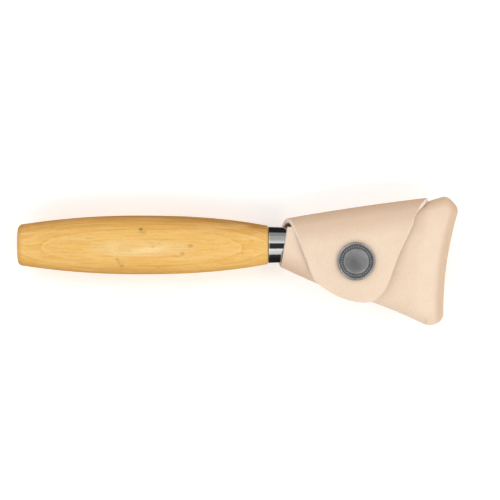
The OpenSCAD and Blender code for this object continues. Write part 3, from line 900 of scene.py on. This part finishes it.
def wood_handle():
    """Turned barrel with a rounded butt, and the spigot inside the ferrule."""
    butt_r, front_r, spigot_r, slot_r = 8.2, 7.9, 6.6, 1.5
    belly_x = 49.5
    soft, edge = 2.2, 0.5

    def radius(x):
        if x < belly_x:
            return belly_r - (belly_r - butt_r) * ((belly_x - x) / belly_x) ** 2.05
        return belly_r - (belly_r - front_r) * ((x - belly_x) / (handle_end - belly_x)) ** 2.4

    rise = radius(soft) - soft
    profile = [(0, 0)]
    profile += [(rise * k / 6, 0) for k in range(1, 6)]
    profile += [(rise + soft * sin(radians(a)), soft * (1 - cos(radians(a))))
                for a in range(0, 91, 9)]
    end = handle_end - edge
    profile += [(radius(mix(soft, end, k / 150)), mix(soft, end, k / 150)) for k in range(1, 151)]
    profile += [(radius(end) - edge * sin(radians(a)) ** 2 - 0.06,
                 end + edge * sin(radians(a))) for a in range(15, 91, 15)]
    profile += [(spigot_r, handle_end - 0.01), (spigot_r, handle_hi.x), (slot_r, handle_hi.x)]
    obj = revolve("handle_wood", profile, WOOD, along="x", steps=192)
    return obj


def steel_ferrule():
    """Drawn steel cap with a turned-in nose, its slot closed by the shank."""
    r0 = (ferrule_hi.z - ferrule_lo.z) / 2
    r1 = r0 - 0.35
    bore, slot = 6.63, 2.0
    x0, x1 = ferrule_lo.x, ferrule_hi.x
    outside = rounded([(bore, x0 + 0.1), (r0 - 0.4, x0 + 0.02), (r0 + 0.04, x0 + 0.34),
                       (r0 - 0.06, x0 + 0.75), (mix(r0, r1, 0.5), mix(x0, x1, 0.5)), (r1, x1 - 1.0),
                       (r1 - 0.3, x1 - 0.25), (r1 - 1.1, x1), (slot, x1)], 0.35)
    inside = [(slot, x1 - 1.0), (6.0, x1 - 1.1), (bore, x1 - 1.6), (bore, x0 + 0.1)]
    obj = revolve("ferrule_steel", outside + inside, POLISHED, along="x", steps=192)
    return obj


def hook_blade():
    """Shank, set-back and hook, ground on the outside down to one edge."""
    hook_r, set_r, arc = 12.0, 25.0, 225.0
    hook_c = Vector((150.0, -7.0))
    thick, half_w, edge_soft, heel_soft = 2.2, 4.6, 0.22, 0.12
    # the grind fades in over the first share of the curve; the back drops to a point after the second
    grind_from, point_from, point_w, bevel_w = 0.25, 0.4, 1.2, 3.4
    shank_from, shank_steps, set_steps, hook_steps = 104.0, 23, 20, 120
    set_x = hook_c.x - math.sqrt((hook_r + set_r) ** 2 - (set_r - hook_c.y) ** 2)
    turn = math.degrees(math.atan2(hook_c.x - set_x, set_r - hook_c.y))
    shank = [mix(shank_from, set_x, k / shank_steps) for k in range(shank_steps + 1)]
    stations = [(x, 0.0, 0.0, 0.0) for x in shank]
    for k in range(1, set_steps + 1):
        a = radians(turn * k / set_steps)
        stations.append((set_x + set_r * sin(a), set_r * (1 - cos(a)),
                         a, grind_from * k / set_steps))
    for k in range(1, hook_steps + 1):
        t = k / hook_steps
        a = radians(90 + turn - arc * t)
        stations.append((hook_c.x + hook_r * cos(a), hook_c.y + hook_r * sin(a),
                         a - math.pi / 2, mix(grind_from, 1.0, t)))
    verts, rows = [], []
    for x, y, heading, p in stations:
        grind = smooth(p / grind_from)
        back = half_w - (2 * half_w - point_w) * clamp01((p - point_from) / (1 - point_from)) ** 2.2
        bevel = min(bevel_w * grind + 0.2, (back + half_w) * 0.8)
        h = thick / 2
        section = [(-h, back - edge_soft), (-h + edge_soft, back), (h - edge_soft, back),
                   (h, back - edge_soft), (h, bevel - half_w), (mix(h, 0.3 - h, grind), -half_w + 0.05),
                   (-h + heel_soft, -half_w), (-h, -half_w + heel_soft)]
        nx, ny = -sin(heading), cos(heading)
        rows.append(list(range(len(verts), len(verts) + len(section))))
        verts += [(x + nx * n, y + ny * n, z) for n, z in section]
    obj = make_object("hook_blade", verts, tube_faces(rows), [BLADE])
    fix_normals(obj)
    crease(obj, 24)
    return obj


# ---- press stud


def snap_cap():
    """Cap with a rolled rim and a sunk ring round a low satin dome."""
    r = (cap_hi.x - cap_lo.x) / 2
    z0 = flap_hi.z - 0.12
    top = cap_hi.z
    at = (snap_x, snap_y, 0)
    rim = [(r - 0.5 + 0.5 * cos(radians(a)), z0 + 0.80 + 0.62 * sin(radians(a)))
           for a in range(-90, 151, 15)]
    sunk = [(r - 1.0, z0 + 0.95), (r - 1.15, z0 + 0.85), (r - 2.45, z0 + 0.85), (r - 2.6, z0 + 1.0)]
    dome_r = r - 2.6
    rise = top - z0 - 1.12
    dome = [(dome_r - 0.02, z0 + 1.0), (dome_r - 0.12, z0 + 1.12)]
    dome += [((dome_r - 0.12) * (1 - k / 12), z0 + 1.12 + rise * (1 - (1 - k / 12) ** 2))
             for k in range(1, 12)]
    barrel = [(2.2, cap_lo.z + 0.1), (2.2, z0)]
    shell = revolve("snap_cap_shell", [*barrel, *rim, sunk[0]], CAP_RIM, at, steps=144)
    ring = revolve("snap_cap_ring", sunk, CAP_RECESS, at, steps=144)
    disc = revolve("snap_cap_disc", [*dome, (0, top)], CAP, at, steps=144)
    return shell, ring, disc


def snap_beads():
    """Ring of plain beads in the cap's sunk ring."""
    r = (cap_hi.x - cap_lo.x) / 2 - 1.8
    z = flap_hi.z + 0.75
    count, size = 36, 0.42
    bm = bmesh.new()
    for k in range(count):
        a = 2 * math.pi * k / count
        made = bmesh.ops.create_icosphere(bm, subdivisions=2, radius=size)["verts"]
        for v in made:
            v.co.z *= 0.75
            v.co += Vector((snap_x + r * cos(a), snap_y + r * sin(a), z))
    verts = [tuple(v.co) for v in bm.verts]
    bm.verts.index_update()
    faces = [[v.index for v in f.verts] for f in bm.faces]
    bm.free()
    beads = make_object("snap_cap_beads", verts, faces, [CAP])
    return beads


def snap_inner_parts():
    """Socket under the flap with its wire ring, stud and post on the front panel."""
    at = (snap_x, snap_y, 0)
    socket_lo, socket_hi = box_mm("snap_socket")
    rs = (socket_hi.x - socket_lo.x) / 2
    z1 = socket_hi.z
    socket = revolve("snap_socket_shell", rounded([
        (2.25, z1), (rs - 0.25, z1), (rs, z1 - 0.3), (rs, z1 - 1.0), (rs - 1.2, z1 - 1.55),
        (rs - 1.6, z1 - 2.0), (rs - 1.75, z1 - 2.4), (3.35, z1 - 2.4), (3.32, z1 - 1.2),
        (3.3, z1 - 0.5), (2.25, z1 - 0.5), (2.25, z1)], 0.2), NICKEL, at, steps=128)
    spring_lo, spring_hi = box_mm("snap_spring")
    wire_z = (spring_lo.z + spring_hi.z) / 2
    wire = wire_ring("snap_spring_wire", 2.85, 0.26, wire_z)
    zs = stud_lo.z
    rf = (stud_hi.x - stud_lo.x) / 2
    stud = revolve("snap_stud_body", rounded([
        (1.95, zs), (rf - 0.1, zs), (rf, zs + 0.15), (rf - 0.2, zs + 0.3), (2.8, zs + 0.36),
        (2.4, zs + 0.6), (2.36, zs + 1.1), (2.88, zs + 1.5), (2.86, zs + 1.85), (2.3, zs + 2.16),
        (0, zs + 2.2)], 0.16), NICKEL, at, steps=128)
    post_lo, _ = box_mm("snap_post")
    zp = post_lo.z
    post = revolve("snap_post_body", [
        (0, zp), (3.6, zp), (4.1, zp + 0.08), (4.34, zp + 0.22), (4.2, zp + 0.34), (1.9, zp + 0.36),
        (1.9, zp + 3.7), (0, zp + 3.8)], NICKEL, at, steps=96)
    return socket, wire, stud, post


def wire_ring(name, major, minor, z):
    """Open ring of round wire, as the socket's spring."""
    gap, steps, sides = 40, 96, 12
    verts, rows = [], []
    for i in range(steps + 1):
        a = radians(gap / 2 + (360 - gap) * i / steps)
        rows.append([])
        for k in range(sides):
            b = 2 * math.pi * k / sides
            r = major + minor * cos(b)
            rows[-1].append(len(verts))
            verts.append((snap_x + r * cos(a), snap_y + r * sin(a), z + minor * sin(b)))
    obj = make_object(name, verts, tube_faces(rows), [NICKEL])
    fix_normals(obj)
    return obj


# ---- studio


def studio():
    """Plain pale floor, a sky that is bright at the two ends, and long soft boxes on both sides."""
    scene = bpy.context.scene
    scene.view_settings.view_transform = "Standard"
    world = bpy.data.worlds.new("studio")
    scene.world = world
    world.use_nodes = True
    tree = world.node_tree
    tree.nodes.clear()
    new, link = tree.nodes.new, tree.links.new
    out = new("ShaderNodeOutputWorld")
    back = new("ShaderNodeBackground")
    coord = new("ShaderNodeTexCoord")
    parts = new("ShaderNodeSeparateXYZ")
    along = new("ShaderNodeMapRange")
    along.inputs["From Min"].default_value = -1.0
    ramp = new("ShaderNodeValToRGB")
    ramp.color_ramp.interpolation = "EASE"
    sky = ((0.21, 0.92), (0.375, 0.06), (0.62, 0.06), (0.77, 1.18))
    for _ in sky[2:]:
        ramp.color_ramp.elements.new(0.5)
    for element, (place, grey) in zip(ramp.color_ramp.elements, sky):
        element.position = place
        element.color = (grey, grey, grey, 1)
    above = new("ShaderNodeMapRange")
    above.inputs["From Min"].default_value = -0.02
    above.inputs["From Max"].default_value = 0.12
    above.inputs["To Min"].default_value = 0.5
    link(coord.outputs["Generated"], parts.inputs[0])
    link(parts.outputs["X"], along.inputs["Value"])
    link(along.outputs[0], ramp.inputs[0])
    link(parts.outputs["Z"], above.inputs["Value"])
    link(ramp.outputs[0], back.inputs["Color"])
    link(above.outputs[0], back.inputs["Strength"])
    link(back.outputs[0], out.inputs[0])

    gap, size = 0.05, 6000
    floor_z = min(handle_lo.z, back_lo.z) - gap
    floor_mat = Nodes("studio_floor")
    floor_mat.finish((0.95, 0.95, 0.95), 0.9)
    floor_mat.bsdf.inputs["Emission Color"].default_value = (1, 1, 1, 1)
    floor_mat.bsdf.inputs["Emission Strength"].default_value = 0.20
    floor = make_object("studio_floor", [(-size, -size, floor_z), (size, -size, floor_z),
                                         (size, size, floor_z), (-size, size, floor_z)],
                        [(0, 1, 2, 3)], [floor_mat.mat])
    floor.visible_glossy = False

    middle = Vector((0.09, 0, 0))

    def soft_box(name, side, low, high, radiance):
        """Long box beside the knife, filling the heights from low to high, in degrees."""
        reach, length = 1.5, 2.6
        ends = [middle + reach * Vector((0, side * cos(radians(a)), sin(radians(a))))
                for a in (low, high)]
        light = bpy.data.lights.new(name, "AREA")
        light.shape = "RECTANGLE"
        light.size, light.size_y = length, (ends[1] - ends[0]).length
        light.energy = radiance * math.pi * light.size * light.size_y
        obj = bpy.data.objects.new(name, light)
        obj.location = (ends[0] + ends[1]) / 2
        obj.rotation_mode = "QUATERNION"
        obj.rotation_quaternion = (middle - obj.location).to_track_quat("-Z", "Y")
        scene.collection.objects.link(obj)

    for low, high, radiance in ((3, 30, 0.45), (30, 56, 0.72), (56, 68, 0.95), (68, 79, 1.40)):
        soft_box(f"far_box_{low}", 1, low, high, radiance)
    for low, high, radiance in ((25, 38, 1.20), (38, 52, 1.35), (52, 65, 1.65)):
        soft_box(f"near_box_{low}", -1, low, high, radiance)

    camera = bpy.data.cameras.new("camera")
    camera.sensor_width = 36.0
    centre_x, centre_y, distance, view_width = 0.0956, -0.0021, 1.5, 0.206
    camera.lens = camera.sensor_width * distance / view_width
    camera.clip_start, camera.clip_end = 0.05, 20.0
    obj = bpy.data.objects.new("camera", camera)
    obj.location = (centre_x, centre_y, distance)
    scene.collection.objects.link(obj)
    scene.camera = obj


# ---- build

WOOD = wood_material()
GRAIN = grain_leather()
FLESH = flesh_leather()
CUT = cut_leather()
POLISHED = metal("ferrule_steel", (0.46, 0.46, 0.465), 0.08, (0.25, 4, 4), 1.0, 0.0015, 0.05, 0.06)
BLADE = metal("blade_steel", (0.66, 0.67, 0.69), 0.24, (1, 1, 6), 1.2, 0.003, 0.10, 0.12)
CAP = metal("antique_nickel", (0.33, 0.33, 0.332), 0.40, (1, 2.5, 1), 1.8, 0.014, 0.08, 0.35)
CAP_RIM = metal("antique_nickel_rim", (0.42, 0.415, 0.41), 0.25, (1, 1, 1), 1.6, 0.006, 0.08, 0.22)
CAP_RECESS = metal("antique_nickel_recess", (0.19, 0.19, 0.192), 0.48, (1, 1, 1), 2.2, 0.02, 0.08, 0.4)
NICKEL = metal("snap_nickel", (0.64, 0.63, 0.61), 0.20, (2, 2, 2), 1.5, 0.003, 0.08, 0.15)

studio()

sheath = sheath_leather()
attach(sheath, "sheath")
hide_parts("front_panel", "bottom_fold", "back_panel", "end_wing", "top_tab")

flap = flap_leather()
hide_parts("flap", "flap_fold")
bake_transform(flap)

wood = wood_handle()
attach(wood, "knife")
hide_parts("handle")
ferrule = steel_ferrule()
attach(ferrule, "knife")
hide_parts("ferrule")
blade = hook_blade()
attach(blade, "knife")
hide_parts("blade")

cap_pieces = snap_cap()
for piece in (*cap_pieces, snap_beads()):
    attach(piece, "flap")
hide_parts("snap_cap")
socket, wire, stud, post = snap_inner_parts()
for piece, body, node in ((socket, "flap", "snap_socket"), (wire, "flap", "snap_spring"),
                          (stud, "sheath", "snap_stud"), (post, "sheath", "snap_post")):
    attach(piece, body)
    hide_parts(node)
